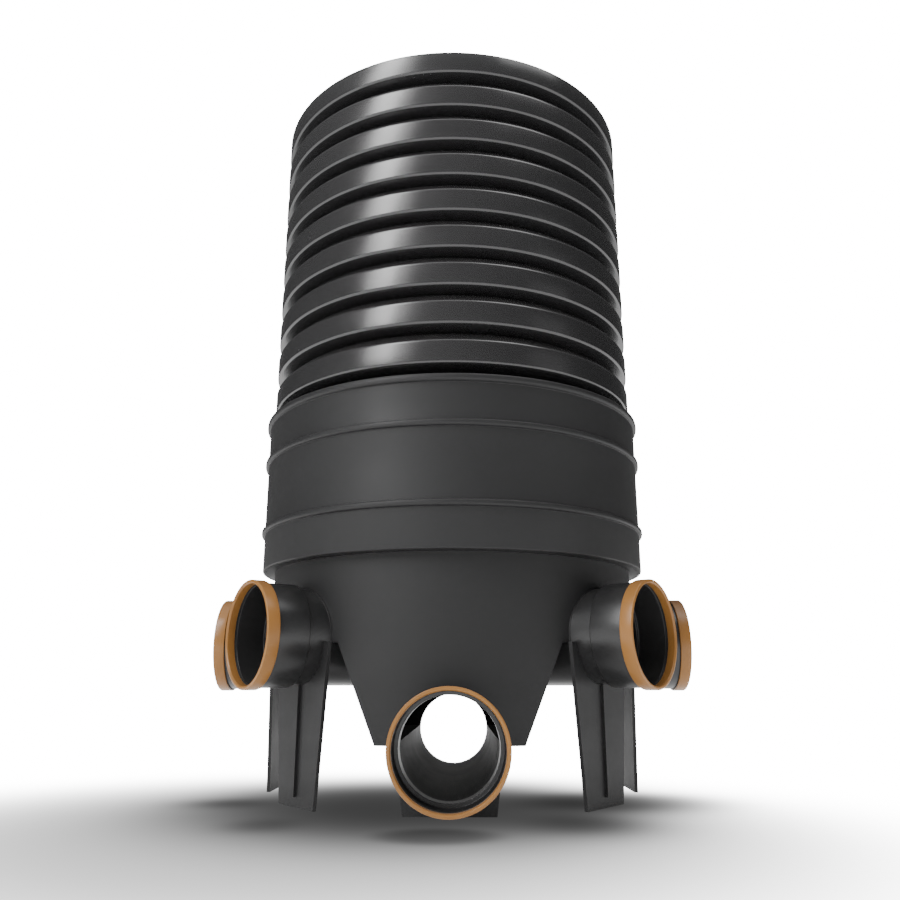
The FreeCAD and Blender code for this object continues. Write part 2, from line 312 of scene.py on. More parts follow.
class FinishBook:
    """Makes one material for each finish and hands it out."""

    COAT_ROUGHNESS = 0.22
    PLASTIC_IOR = 1.49
    DEEP_TONE = 0.86
    DUST_COLOUR = (0.34, 0.32, 0.29)
    SHEEN_SPREAD = 0.16
    SHEEN_MIDDLE = 0.08
    DUSTY_ROUGHNESS = 0.3
    BUMP_STRENGTH = 0.6

    def __init__(self) -> None:
        """Builds the shared effects first."""
        self.effects = SurfaceEffects()
        self.made: dict[str, Material] = {}

    @staticmethod
    def blend(tree: NodeTree, amount: object, below: object, above: object) -> NodeSocket:
        """Mixes two colours.

        Args:
            tree: The material's node tree.
            amount: Socket with the share of the second colour.
            below: First colour, a socket or three numbers.
            above: Second colour, a socket or three numbers.

        Returns:
            The mixed colour.
        """
        values = {"Factor": amount}
        for place, value in ((6, below), (7, above)):
            values[place] = value if isinstance(value, NodeSocket) else (*value, 1.0)
        return new_node(tree, "Mix", values, data_type="RGBA").outputs[2]

    def material(self, finish: Finish) -> Material:
        """Returns the material of a finish, made on first use.

        Args:
            finish: The finish.

        Returns:
            Its material.
        """
        if finish.name not in self.made:
            self.made[finish.name] = self.build(finish)
        return self.made[finish.name]

    def build(self, finish: Finish) -> Material:
        """Builds the node tree of one finish.

        Args:
            finish: The finish to build.

        Returns:
            The material.
        """
        made = bpy.data.materials.new(finish.name)
        made.use_nodes = True
        tree = made.node_tree
        grain = new_node(tree, "Group", {
            "Size": finish.grain_size, "Grain Depth": finish.grain_depth, "Wave Depth": finish.wave_depth,
        }, node_tree=self.effects.grain)
        wear = new_node(tree, "Group", {"Width": finish.edge}, node_tree=self.effects.wear)
        scuffs = new_node(tree, "Group", {"Amount": finish.scuff}, node_tree=self.effects.scuffs)
        dust = new_node(tree, "Group", {"Amount": finish.dust}, node_tree=self.effects.dust)
        deep = tuple(self.DEEP_TONE * part for part in finish.base)
        tone = self.blend(tree, grain.outputs["Tone"], deep, finish.base)
        worn = calc(tree, "MULTIPLY", wear.outputs["Mask"], finish.edge_wear)
        rubbed = self.blend(tree, worn, tone, finish.pale)
        scuffed = self.blend(tree, scuffs.outputs["Mask"], rubbed, finish.pale)
        spread = calc(tree, "MULTIPLY", scuffs.outputs["Roughness"], self.SHEEN_SPREAD)
        clean = calc(tree, "ADD", spread, finish.gloss.value - self.SHEEN_MIDDLE)
        dusty = calc(tree, "MULTIPLY", dust.outputs["Mask"], self.DUSTY_ROUGHNESS)
        bump = new_node(tree, "Bump", {
            "Distance": 1.0, "Strength": self.BUMP_STRENGTH, "Height": grain.outputs["Height"],
        })
        feed(tree, tree.nodes["Principled BSDF"], {
            "Base Color": self.blend(tree, dust.outputs["Mask"], scuffed, self.DUST_COLOUR),
            "Roughness": calc(tree, "ADD", clean, dusty),
            "Normal": bump.outputs["Normal"],
            "Specular IOR Level": finish.specular,
            "Coat Weight": finish.coat,
            "Coat Roughness": self.COAT_ROUGHNESS,
            "IOR": self.PLASTIC_IOR,
        })
        return made


# Shaping


# A corner is its distance from the axis, its height and its rounding, in millimetres.
Corner = Triple
STRAIGHT_HALF = math.radians(88)
SAME_SIZE = 1e-9
SHADE_ANGLE = 32.0
FOLD_ANGLE = 38.0
FOLD_SHADE_ANGLE = 34.0
NORMAL_WEIGHT = 60
FOLD_SEGMENTS = 3
DRUM_SIDES = 192


def softened(corners: list[Corner], steps: int) -> list[tuple[float, float]]:
    """Rounds the corners of a closed profile.

    Args:
        corners: Corners in order.
        steps: Number of points round each soft corner, less one.

    Returns:
        Points of the rounded profile, in millimetres.
    """
    points: list[tuple[float, float]] = []
    for place, (radius, height, soft) in enumerate(corners):
        here = Vector((radius, height))
        before = Vector(corners[place - 1][:2])
        after = Vector(corners[(place + 1) % len(corners)][:2])
        back = (before - here).normalized()
        ahead = (after - here).normalized()
        half = back.angle(ahead) / 2
        if soft <= 0 or half > STRAIGHT_HALF:
            points.append((radius, height))
            continue
        reach = soft / math.tan(half)
        centre = here + (back + ahead).normalized() * (soft / math.sin(half))
        start = here + back * reach - centre
        end = here + ahead * reach - centre
        sweep = start.angle_signed(end)
        for step in range(steps + 1):
            turn = Matrix.Rotation(-sweep * step / steps, 2)
            spot = centre + turn @ start
            points.append((spot.x, spot.y))
    return points


def deselect() -> None:
    """Deselects every object."""
    for thing in bpy.context.selected_objects:
        thing.select_set(False)


def make_active(piece: Object) -> None:
    """Selects one object alone.

    Args:
        piece: The object.
    """
    deselect()
    piece.select_set(True)
    bpy.context.view_layer.objects.active = piece


def added(operator: object, **values: object) -> Object:
    """Adds an object with one of Blender's operators and returns it.

    Args:
        operator: The operator.
        values: Values for the operator.

    Returns:
        The new object, active and selected alone.
    """
    deselect()
    operator(**values)
    return bpy.context.active_object


def turned(corners: list[Corner], steps: int, sides: int) -> Object:
    """Shapes a closed ring by extruding and sizing a circle along a profile.

    Args:
        corners: Corners of the closed profile.
        steps: Number of points round each soft corner, less one.
        sides: Number of sides round the axis.

    Returns:
        The ring, about the Z axis.
    """
    points = softened(corners, steps)
    radius, height = points[0]
    place = (0, 0, height * MM)
    piece = added(bpy.ops.mesh.primitive_circle_add, vertices=sides, radius=radius * MM, location=place)
    bpy.ops.object.transform_apply()
    bpy.ops.object.mode_set(mode="EDIT")
    bpy.ops.mesh.select_all(action="SELECT")
    for next_radius, next_height in points[1:]:
        climb = (0.0, 0.0, (next_height - height) * MM)
        bpy.ops.mesh.extrude_region_move(TRANSFORM_OT_translate={"value": climb})
        share = next_radius / radius
        if abs(share - 1.0) > SAME_SIZE:
            bpy.ops.transform.resize(value=(share, share, 1.0))
        radius, height = next_radius, next_height
    bpy.ops.mesh.select_mode(type="EDGE")
    bpy.ops.mesh.select_all(action="DESELECT")
    bpy.ops.mesh.select_non_manifold(extend=False)
    bpy.ops.mesh.bridge_edge_loops()
    bpy.ops.mesh.select_all(action="SELECT")
    bpy.ops.mesh.normals_make_consistent(inside=False)
    bpy.ops.object.mode_set(mode="OBJECT")
    return piece


def apply_modifier(piece: Object, kind: str, **values: object) -> None:
    """Adds a modifier with its values and applies it.

    Args:
        piece: The piece.
        kind: Blender's name of the modifier type.
        values: Values to set on the modifier.
    """
    make_active(piece)
    bpy.ops.object.modifier_add(type=kind)
    modifier = piece.modifiers[-1]
    for label, value in values.items():
        setattr(modifier, label, value)
    bpy.ops.object.modifier_apply(modifier=modifier.name)


def smooth(piece: Object, degrees: float = SHADE_ANGLE) -> None:
    """Shades a piece smooth up to an angle between faces."""
    make_active(piece)
    bpy.ops.object.shade_smooth_by_angle(angle=math.radians(degrees))


def settle(piece: Object, place: Matrix) -> None:
    """Moves a piece to its place and puts that place in its mesh.

    Args:
        piece: The piece.
        place: Its frame, in metres.
    """
    make_active(piece)
    piece.matrix_world = place
    bpy.context.view_layer.update()
    bpy.ops.object.transform_apply()


def hand_over(piece: Object, finish: Finish, book: FinishBook, node: str) -> None:
    """Dresses a piece and lets it stand for its solid.

    Args:
        piece: The finished piece.
        finish: Its finish.
        book: The finishes already made.
        node: Name of the solid that it stands for.
    """
    piece.name = node + "_dress"
    piece.data.materials.clear()
    piece.data.materials.append(book.material(finish))
    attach(piece, BODY)
    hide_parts(node)
    log.info("%s: %d faces", piece.name, len(piece.data.polygons))


# Bores


@dataclass(frozen=True)
class Bore:
    """One pipe connection of the base, in millimetres and degrees.

    Args:
        name: Name used in the pieces' names.
        angle: Direction from the front towards the right.
        offset: Distance of the axis from the object's axis, to the right of the direction.
        reach: Distance of the ring face along the axis.
        height: Height of the axis.
        radius: Radius of the bore behind the socket.
        foot_reach: Distance of the foot plate's outer face.
        foot_half: Half-width of the foot plate at the floor.
    """

    name: str
    angle: float
    offset: float
    reach: float
    height: float
    radius: float
    foot_reach: float
    foot_half: float

    @property
    def is_main(self) -> bool:
        """Whether this is an end of the straight main channel."""
        return self.offset == 0.0

    def place(self, reach: float) -> Matrix:
        """Frame at a reach along the bore, with Z outwards and Y up, in metres.

        Args:
            reach: Distance along the bore, in millimetres.

        Returns:
            The frame.
        """
        turn = math.radians(self.angle)
        ahead = Vector((math.sin(turn), -math.cos(turn), 0.0))
        right = Vector((math.cos(turn), math.sin(turn), 0.0))
        spot = ahead * reach + right * self.offset + Vector((0.0, 0.0, self.height))
        up = Vector((0.0, 0.0, 1.0))
        axes = Matrix((up.cross(ahead), up, ahead)).transposed().to_4x4()
        return Matrix.Translation(spot * MM) @ axes

    def upright(self, reach: float) -> Matrix:
        """Frame on the floor with -Y outwards along the bore and Z up."""
        turn = Matrix.Rotation(math.radians(self.angle), 4, "Z")
        return turn @ Matrix.Translation(Vector((self.offset, -reach, 0.0)) * MM)


MAIN_VALUES = (97.7, 74.8, 332.5, 70.0)
BORES = (
    Bore("front", 0.0, 0.0, 440.0, *MAIN_VALUES),
    Bore("rear", 180.0, 0.0, 440.0, *MAIN_VALUES),
    Bore("left_front", -53.9, 37.0, 432.9, 265.9, 72.7, 332.5, 61.5),
    Bore("right_front", 53.9, -37.0, 432.9, 265.9, 72.7, 332.5, 61.5),
    Bore("left_rear", -90.0, -55.0, 450.6, 265.9, 72.7, 339.5, 61.5),
    Bore("right_rear", 90.0, 55.0, 450.6, 265.9, 72.7, 339.5, 61.5),
)


# Riser


@dataclass
class Riser:
    """Corrugated riser pipe with its lowest seal, in millimetres."""

    crest_r: float = 355.0
    bore_r: float = 300.0
    wall: float = 5.0
    pitch: float = 71.64
    ribs: int = 12
    crest: float = 41.5
    slope_rise: float = 19.3
    slope_run: float = 20.0
    flank_rise: float = 1.7
    groove: float = 5.5
    foot_z: float = 415.82
    outside_rounds: tuple[float, ...] = (5.5, 9.0, 5.0, 1.5, 2.0)
    inside_rounds: tuple[float, ...] = (3.0, 4.0, 3.0, 3.0, 3.0)
    foot_round: float = 0.6
    rim_round: float = 1.2
    steps: int = 4
    sides: int = 176
    shade_angle: float = 40.0
    collar_r: float = 356.5
    gap: float = 0.3
    seal_gap: float = 0.6
    seal_nose: tuple[float, float] = (2.8, 3.3)
    seal_rise: float = 5.8
    seal_round: float = 2.0
    seal_steps: int = 3
    seal_sides: int = 120

    def rib_outside(self, z: float) -> list[Corner]:
        """Outer corners of one rib and its groove, upwards from height z.

        Args:
            z: Height of the rib's lower edge.

        Returns:
            Five corners.
        """
        slope_z = z + self.crest + self.slope_rise
        groove_r = self.bore_r + self.wall
        groove_z = slope_z + self.flank_rise
        spots = (
            (self.crest_r, z),
            (self.crest_r, z + self.crest),
            (self.crest_r - self.slope_run, slope_z),
            (groove_r, groove_z),
            (groove_r, groove_z + self.groove),
        )
        return [(*spot, soft) for spot, soft in zip(spots, self.outside_rounds)]

    def rib_inside(self, z: float) -> list[Corner]:
        """Inner corners of the same rib, one wall thickness in.

        Args:
            z: Height of the rib's lower edge.

        Returns:
            Five corners.
        """
        crest_r = self.crest_r - self.wall
        slope = math.hypot(self.slope_run, self.slope_rise)
        shoulder_z = z + self.crest - self.wall * (slope - self.slope_rise) / self.slope_run
        bend_z = z + self.crest + self.slope_rise - self.wall
        bend_run = (bend_z - shoulder_z) * self.slope_run / self.slope_rise
        ridge_z = bend_z + self.flank_rise
        spots = (
            (crest_r, z + self.wall),
            (crest_r, shoulder_z),
            (crest_r - bend_run, bend_z),
            (self.bore_r, ridge_z),
            (self.bore_r, ridge_z + self.groove + 2 * self.wall),
        )
        return [(*spot, soft) for spot, soft in zip(spots, self.inside_rounds)]

    def build_pipe(self) -> Object:
        """Shapes the pipe from its cut foot to its cut rim.

        Returns:
            The pipe.
        """
        top = self.foot_z + self.ribs * self.pitch
        crest_r = self.crest_r - self.wall
        outside: list[Corner] = []
        inside: list[Corner] = []
        for rib in range(self.ribs):
            outside += self.rib_outside(self.foot_z + rib * self.pitch)
            inside += self.rib_inside(self.foot_z + rib * self.pitch)
        outside[0] = (self.crest_r, self.foot_z, self.foot_round)
        inside[0] = (crest_r, self.foot_z, self.foot_round)
        outside.append((self.crest_r, top, self.outside_rounds[0]))
        outside.append((self.crest_r, top + self.crest, self.rim_round))
        inside.append((crest_r, top + self.wall, self.inside_rounds[0]))
        inside.append((crest_r, top + self.crest, self.rim_round))
        pipe = turned(outside + inside[::-1], self.steps, self.sides)
        smooth(pipe, self.shade_angle)
        return pipe

    def build_seal(self) -> Object:
        """Shapes the rubber wedge in the lowest groove.

        Returns:
            The seal.
        """
        slope_z = self.foot_z + self.crest + self.slope_rise
        crest_z = slope_z - self.slope_rise
        groove_r = self.bore_r + self.wall + self.gap
        outer_r = self.collar_r - self.gap
        nose_in, nose_up = self.seal_nose
        corners = [
            (groove_r, slope_z + self.flank_rise + self.seal_gap, 0.0),
            (self.crest_r - self.slope_run + self.gap, slope_z + self.seal_gap, self.seal_round),
            (self.crest_r - nose_in, crest_z + nose_up, self.seal_round),
            (outer_r, crest_z + self.seal_rise, self.seal_round),
            (outer_r, self.foot_z + self.pitch - self.seal_gap, self.seal_round),
            (groove_r, slope_z + self.flank_rise + self.groove - self.seal_gap, 0.0),
        ]
        seal = turned(corners, self.seal_steps, self.seal_sides)
        smooth(seal)
        return seal

    def dress(self, book: FinishBook) -> None:
        """Builds, finishes and hands over both pieces."""
        hand_over(self.build_pipe(), RISER_BLACK, book, "riser_pipe")
        hand_over(self.build_seal(), SEAL_BLACK, book, "riser_seal")


# Collar


@dataclass
class Collar:
    """Sleeve round the neck with a bead lip and two hoops, in millimetres."""

    bore_r: float = 356.5
    wall: float = 6.1
    foot_z: float = 390.9
    top_z: float = 681.0
    lip_height: float = 14.0
    lip_proud: float = 6.4
    lip_ease: Triple = (0.4, 0.3, 1.2)
    lip_rounds: tuple[float, float] = (5.6, 5.4)
    mouth_run: float = 2.5
    mouth_depth: float = 5.0
    mouth_rounds: tuple[float, float] = (0.8, 1.0)
    hoop_height: float = 12.0
    hoop_proud: float = 6.0
    hoop_fullness: float = 0.82
    hoop_round: float = 0.72
    hoop_ease: float = 0.05
    hoop_root: float = 0.8
    hoops: tuple[float, ...] = (597.0, 464.7)
    foot_round: float = 3.5
    foot_inner_round: float = 0.4
    root_round: float = 1.6
    steps: int = 5
    sides: int = 192
    shade_angle: float = 45.0

    def hoop(self, z: float) -> list[Corner]:
        """Corners of a round hoop centred on height z, drawn downwards.

        Args:
            z: Height of the hoop's middle.

        Returns:
            Four corners.
        """
        wall_r = self.bore_r + self.wall
        nose = wall_r + self.hoop_proud - self.hoop_ease
        half = self.hoop_height / 2
        full = half * self.hoop_fullness
        soft = half * self.hoop_round
        return [
            (wall_r, z + half, self.hoop_root),
            (nose, z + full, soft),
            (nose, z - full, soft),
            (wall_r, z - half, self.hoop_root),
        ]

    def dress(self, book: FinishBook) -> None:
        """Builds, finishes and hands over the collar.

        Args:
            book: The finishes already made.
        """
        wall_r = self.bore_r + self.wall
        nose = wall_r + self.lip_proud
        low_lip = self.top_z - self.lip_height
        ease_in, ease_down, ease_up = self.lip_ease
        corners = [
            (self.bore_r + self.mouth_run, self.top_z, self.mouth_rounds[0]),
            (nose - ease_in, self.top_z - ease_down, self.lip_rounds[0]),
            (nose, low_lip + ease_up, self.lip_rounds[1]),
            (wall_r, low_lip, self.root_round),
        ]
        for z in self.hoops:
            corners += self.hoop(z)
        corners += [
            (wall_r, self.foot_z, self.foot_round),
            (self.bore_r, self.foot_z, self.foot_inner_round),
            (self.bore_r, self.top_z - self.mouth_depth, self.mouth_rounds[1]),
        ]
        collar = turned(corners, self.steps, self.sides)
        smooth(collar, self.shade_angle)
        hand_over(collar, BASE_BLACK, book, "riser_collar")


# Sockets


@dataclass
class Connection:
    """Socket, retaining ring and lip seal on one bore, in millimetres."""

    bore: Bore
    socket_bore: float = 80.5
    wall: float = 3.0
    length: float = 74.0
    end_wall: float = 8.0
    gap: float = 0.3
    rim_round: float = 0.8
    seam_round: float = 1.6
    shoulder_rounds: tuple[float, float] = (0.7, 0.8)
    ring_r: float = 87.0
    ring_length: float = 21.0
    ring_mouth: tuple[float, float] = (1.6, 2.2)
    ring_mouth_round: float = 0.7
    ring_rounds: tuple[float, float] = (1.8, 1.6)
    skirt_round: float = 0.5
    inner_round: float = 0.4
    flange: float = 14.0
    seal_length: float = 4.0
    lip: float = 1.0
    lip_depth: float = 0.9
    lip_valley: float = 0.8
    small_round: float = 0.3
    steps: int = 4
    sides: int = 128
    seal_steps: int = 3
    seal_sides: int = 96

    def build_socket(self) -> Object:
        """Shapes the socket from its mouth to the weld seam.

        Returns:
            The socket, about the Z axis, with the ring's face at height zero.
        """
        bore_r = self.bore.radius
        outer = self.socket_bore + self.wall
        start = -(self.flange + self.seal_length)
        floor = -(self.length - self.end_wall)
        corners = [
            (self.socket_bore, start, self.rim_round),
            (outer, start, self.rim_round),
            (outer, -self.length, self.seam_round),
            (bore_r, -self.length, self.small_round),
            (bore_r, floor, self.shoulder_rounds[0]),
            (self.socket_bore, floor, self.shoulder_rounds[1]),
        ]
        return turned(corners, self.steps, self.sides)

    def build_ring(self) -> Object:
        """Shapes the ring with its flange and skirt.

        Returns:
            The ring, about the Z axis, with its face at height zero.
        """
        skirt = self.socket_bore + self.wall + self.gap
        mouth_run, mouth_depth = self.ring_mouth
        corners = [
            (self.socket_bore, -mouth_depth, self.rim_round),
            (self.socket_bore + mouth_run, 0.0, self.ring_mouth_round),
            (self.ring_r, 0.0, self.ring_rounds[0]),
            (self.ring_r, -self.ring_length, self.ring_rounds[1]),
            (skirt, -self.ring_length, self.skirt_round),
            (skirt, -self.flange, self.inner_round),
            (self.socket_bore, -self.flange, self.inner_round),
        ]
        return turned(corners, self.steps, self.sides)

    def build_seal(self) -> Object:
        """Shapes the rubber ring with its two lips.

        Returns:
            The seal, about the Z axis, behind the ring.
        """
        lip_r = self.socket_bore + self.gap
        root_r = lip_r + self.lip_depth
        outer = self.socket_bore + self.wall
        front = -self.flange
        back = front - self.seal_length
        corners = [
            (lip_r, front - self.lip, self.inner_round),
            (root_r, front, self.small_round),
            (outer, front, self.small_round),
            (outer, back, self.small_round),
            (root_r, back, self.small_round),
            (lip_r, back + self.lip, self.inner_round),
            (lip_r + self.lip_valley, (front + back) / 2, self.small_round),
        ]
        return turned(corners, self.seal_steps, self.seal_sides)

    def dress(self, book: FinishBook) -> None:
        """Builds, places, finishes and hands over the three pieces.

        Args:
            book: The finishes already made.
        """
        place = self.bore.place(self.bore.reach)
        for piece, finish, kind in (
            (self.build_socket(), PIPE_BLACK, "socket_"),
            (self.build_ring(), RING_OCHRE, "ring_"),
            (self.build_seal(), SEAL_BLACK, "seal_"),
        ):
            smooth(piece)
            settle(piece, place)
            hand_over(piece, finish, book, kind + self.bore.name)


# Base


def drum(radius: float, low: float, high: float) -> Object:
    """Shapes an upright solid drum about the object's axis, in millimetres.

    Args:
        radius: Radius of the drum.
        low: Height of its bottom.
        high: Height of its top.

    Returns:
        The drum.
    """
    piece = added(
        bpy.ops.mesh.primitive_cylinder_add, vertices=DRUM_SIDES, radius=radius * MM,
        depth=(high - low) * MM, location=(0, 0, (low + high) / 2 * MM),
    )
    bpy.ops.object.transform_apply()
    return piece


def rod(bore: Bore, radius: float, start: float, end: float, sides: int = 96) -> Object:
    """Shapes a round bar along a bore between two reaches.

    Args:
        bore: The bore.
        radius: Radius of the bar.
        start: Reach of its inner end.
        end: Reach of its outer end.
        sides: Number of sides round it.

    Returns:
        The bar.
    """
    depth = (end - start) * MM
    piece = added(bpy.ops.mesh.primitive_cylinder_add, vertices=sides, radius=radius * MM, depth=depth)
    settle(piece, bore.place((start + end) / 2))
    return piece


def block(low_x: tuple, high_x: tuple, y: tuple, z: tuple) -> Object:
    """Shapes a block with sloping sides, in millimetres.

    Args:
        low_x: Left and right limits at the bottom.
        high_x: Left and right limits at the top.
        y: Near and far limits.
        z: Bottom and top heights.

    Returns:
        The block.
    """
    piece = added(bpy.ops.mesh.primitive_cube_add, size=MM, location=(0, 0, 0))
    bpy.ops.object.mode_set(mode="EDIT")
    for vert in bmesh.from_edit_mesh(piece.data).verts:
        limits = high_x if vert.co.z > 0 else low_x
        place = (limits[vert.co.x > 0], y[vert.co.y > 0], z[vert.co.z > 0])
        vert.co = Vector(place) * MM
    bmesh.update_edit_mesh(piece.data)
    bpy.ops.object.mode_set(mode="OBJECT")
    return piece


def combine(piece: Object, tool: Object, how: str = "DIFFERENCE") -> None:
    """Cuts, joins or trims a piece with a tool and removes the tool.

    Args:
        piece: The piece that stays.
        tool: The shape to work with.
        how: DIFFERENCE, UNION or INTERSECT.
    """
    apply_modifier(piece, "BOOLEAN", operation=how, solver="EXACT", object=tool)
    bpy.data.objects.remove(tool, do_unlink=True)


@dataclass
class BasePiece:
    """Sizes that the pieces of the base share, in millimetres, and what they are cut with."""

    neck_top: float = 415.82
    step_z: float = 390.9
    ledge_z: float = 253.0
    neck_r: float = 356.2
    wall_r: float = 339.8
    wall: float = 8.0
    gap: float = 0.3
    trough_top_half: float = 179.0
    trough_bottom_half: float = 114.5
    trough_z: float = 98.0
    stub_wall: float = 5.0
    channel_start: float = 120.0
    socket_length: float = 74.0
    cut_past: float = 60.0
    cut_below: float = 20.0
    edge_round: float = 0.8
    node: str = ""
    finish: Finish = BASE_BLACK

    @property
    def tray_top(self) -> float:
        """Height of the upper face of the ledges."""
        return self.ledge_z + self.wall

    @property
    def lean(self) -> float:
        """Sideways run of the trough's side for each unit of height."""
        return (self.trough_top_half - self.trough_bottom_half) / (self.ledge_z - self.trough_z)

    def hole_r(self, bore: Bore) -> float:
        """Radius of the hole that a pipe passes through."""
        return bore.radius + self.stub_wall + self.gap

    def half_width(self, height: float, inset: float = 0.0) -> float:
        """Half-width of the trough at a height, moved in from its sloping face."""
        across = inset * math.sqrt(1 + self.lean * self.lean)
        return self.trough_bottom_half + (height - self.trough_z) * self.lean - across

    def trough_room(self) -> Object:
        """Shapes the room inside the trough, open at the top.

        Returns:
            The room as a solid block.
        """
        floor = self.trough_z + self.wall
        roof = self.tray_top + self.wall
        low = self.half_width(floor, self.wall)
        high = self.half_width(roof, self.wall)
        far = self.wall_r + self.cut_past
        return block((-low, low), (-high, high), (-far, far), (floor, roof))

    def trim_flanks(self, piece: Object, far: float) -> None:
        """Cuts what lies beside the trough off a piece's foot.

        Args:
            piece: The piece.
            far: Distance that the cutting blocks reach out.
        """
        foot = self.trough_z - self.cut_below
        for side in (-1, 1):
            low_x = sorted((side * self.half_width(foot), side * far))
            high_x = sorted((side * self.half_width(self.ledge_z), side * far))
            combine(piece, block(low_x, high_x, (-far, far), (foot, self.ledge_z)))

    def soften_edges(self, piece: Object) -> None:
        """Rounds the sharp edges of a piece and evens its shading.

        Args:
            piece: The piece.
        """
        apply_modifier(
            piece, "BEVEL", width=self.edge_round * MM, segments=FOLD_SEGMENTS, limit_method="ANGLE",
            angle_limit=math.radians(FOLD_ANGLE), use_clamp_overlap=True, miter_outer="MITER_ARC",
        )
        smooth(piece, FOLD_SHADE_ANGLE)
        apply_modifier(piece, "WEIGHTED_NORMAL", keep_sharp=True, weight=NORMAL_WEIGHT)

    def build(self) -> Object:
        """Shapes the piece with sharp edges."""
        raise NotImplementedError

    def dress(self, book: FinishBook) -> None:
        """Builds, softens, finishes and hands over the piece.

        Args:
            book: The finishes already made.
        """
        piece = self.build()
        self.soften_edges(piece)
        hand_over(piece, self.finish, book, self.node)


@dataclass
class ChamberWall(BasePiece):
    """Stepped tube whose foot is cut to the outline of the trough."""

    edge_round: float = 1.6
    sides: int = 192
    node: str = "chamber_wall"

    def build(self) -> Object:
        """Turns the tube, trims its foot and opens it for the pipes.

        Returns:
            The tube.
        """
        wall_in = self.wall_r - self.wall
        neck_in = self.neck_r - self.wall
        step_in = self.step_z + self.wall
        spots = (
            (self.wall_r, self.trough_z), (self.wall_r, self.step_z), (self.neck_r, self.step_z),
            (self.neck_r, self.neck_top), (neck_in, self.neck_top),
            (neck_in, step_in), (wall_in, step_in), (wall_in, self.trough_z),
        )
        tube = turned([(*spot, 0.0) for spot in spots], 1, self.sides)
        far = self.neck_r + self.cut_past
        self.trim_flanks(tube, far)
        for bore in BORES:
            radius = bore.radius if bore.is_main else self.hole_r(bore)
            combine(tube, rod(bore, radius, self.channel_start, far))
        return tube


@dataclass
class ChannelTray(BasePiece):
    """Ledges, deep trough and main channel in one moulding, cut out for the branch pipes."""

    edge_round: float = 2.2
    node: str = "channel_tray"

    def build(self) -> Object:
        """Joins ledges, trough and main channel, then hollows them.

        Returns:
            The tray.
        """
        main_bore = BORES[0]
        far = self.wall_r + self.cut_past
        tray = drum(self.wall_r - self.wall - self.gap, self.trough_z, self.tray_top)
        self.trim_flanks(tray, far)
        channel = rod(main_bore, main_bore.radius + self.stub_wall, -far, far)
        combine(channel, drum(self.wall_r, 0.0, self.trough_z), "INTERSECT")
        combine(tray, channel, "UNION")
        combine(tray, self.trough_room())
        combine(tray, rod(main_bore, main_bore.radius, -far, far))
        for bore in BORES:
            if not bore.is_main:
                combine(tray, rod(bore, self.hole_r(bore), self.channel_start, far))
        return tray


@dataclass
class BasePipe(BasePiece):
    """Pipe between the base and a socket, with a thin weld bead on the wall.

    On the main channel it is a short stub outside the wall. On a branch it runs through the wall to the
    trough and is cut open above the ledge.
    """

    bore: Bore = BORES[0]
    bead: float = 1.3
    sides: int = 128
    edge_round: float = 0.9
    finish: Finish = PIPE_BLACK

    def weld(self, end: float) -> Object:
        """Shapes the bead that lies on the wall round the pipe.

        Args:
            end: Reach at which the pipe ends.

        Returns:
            The solid bead, filled across the bore.
        """
        root = self.wall_r + self.gap
        low = 0.0 if self.bore.is_main else self.ledge_z
        radius = self.bore.radius + self.stub_wall + self.bead
        bead = rod(self.bore, radius, self.channel_start, end, self.sides)
        combine(bead, drum(root + self.bead, low, self.step_z), "INTERSECT")
        combine(bead, drum(root, low - self.bead, self.step_z + self.bead))
        return bead

    def build(self) -> Object:
        """Shapes the pipe, its bead and its bore.

        Returns:
            The pipe.
        """
        bore = self.bore
        start = self.channel_start
        end = bore.reach - self.socket_length
        pipe = rod(bore, bore.radius + self.stub_wall, start, end, self.sides)
        if bore.is_main:
            combine(pipe, drum(self.wall_r + self.gap, -self.wall, self.step_z))
        combine(pipe, self.weld(end), "UNION")
        combine(pipe, rod(bore, bore.radius, start - self.wall, end + self.wall, self.sides))
        if not bore.is_main:
            combine(pipe, drum(self.wall_r - self.wall, self.tray_top, self.step_z))
            combine(pipe, self.trough_room())
        return pipe


@dataclass
class Foot(BasePiece):
    """Foot plate under one bore, with a thin upright rib."""

    bore: Bore = BORES[0]
    thickness: float = 6.0
    flare: float = 0.125
    rib_proud: float = 4.5
    rib_sunk: float = 2.0
    rib_thickness: float = 4.0
    rib_lift: float = 16.0
    hole_reach: float = 12.0
    hole_sides: int = 128

    def build(self) -> Object:
        """Shapes the plate and its rib, cut out for the pipe.

        Returns:
            The plate with its rib.
        """
        bore = self.bore
        top = self.trough_z if bore.is_main else self.ledge_z
        low = bore.foot_half
        high = low + self.flare * top
        plate = block((-low, low), (-high, high), (0.0, self.thickness), (0.0, top))
        clear = self.hole_r(bore)
        rib_top = bore.height - clear
        if rib_top > 2 * self.rib_lift:
            half = self.rib_thickness / 2
            depth = (-self.rib_proud, self.rib_sunk)
            combine(plate, block((-half, half), (-half, half), depth, (self.rib_lift, rib_top)), "UNION")
        settle(plate, bore.upright(bore.foot_reach))
        near = bore.foot_reach - self.hole_reach
        far = bore.foot_reach + self.hole_reach
        combine(plate, rod(bore, clear, near, far, self.hole_sides))
        return plate


# Studio


@dataclass(frozen=True)
class SoftShade:
    """One soft dark oval on the floor, in metres.

    Args:
        at: Place of its middle.
        reach: Half-widths at which it fades.
        depth: Darkness in the middle, in tenfold steps.
        edge: How suddenly it fades.
    """

    at: tuple[float, float]
    reach: tuple[float, float]
    depth: float
    edge: float


@dataclass(frozen=True)
class Panel:
    """One soft light panel.

    Args:
        turn: Direction from the front towards the right, in degrees.
        away: Distance from the object's axis in metres.
        height: Height of its middle in metres.
        spread: Width in degrees, as seen from the object's axis.
        tall: Height of the panel in metres.
        glow: Brightness of its face.
    """

    turn: float
    away: float
    height: float
    spread: float
    tall: float
    glow: float


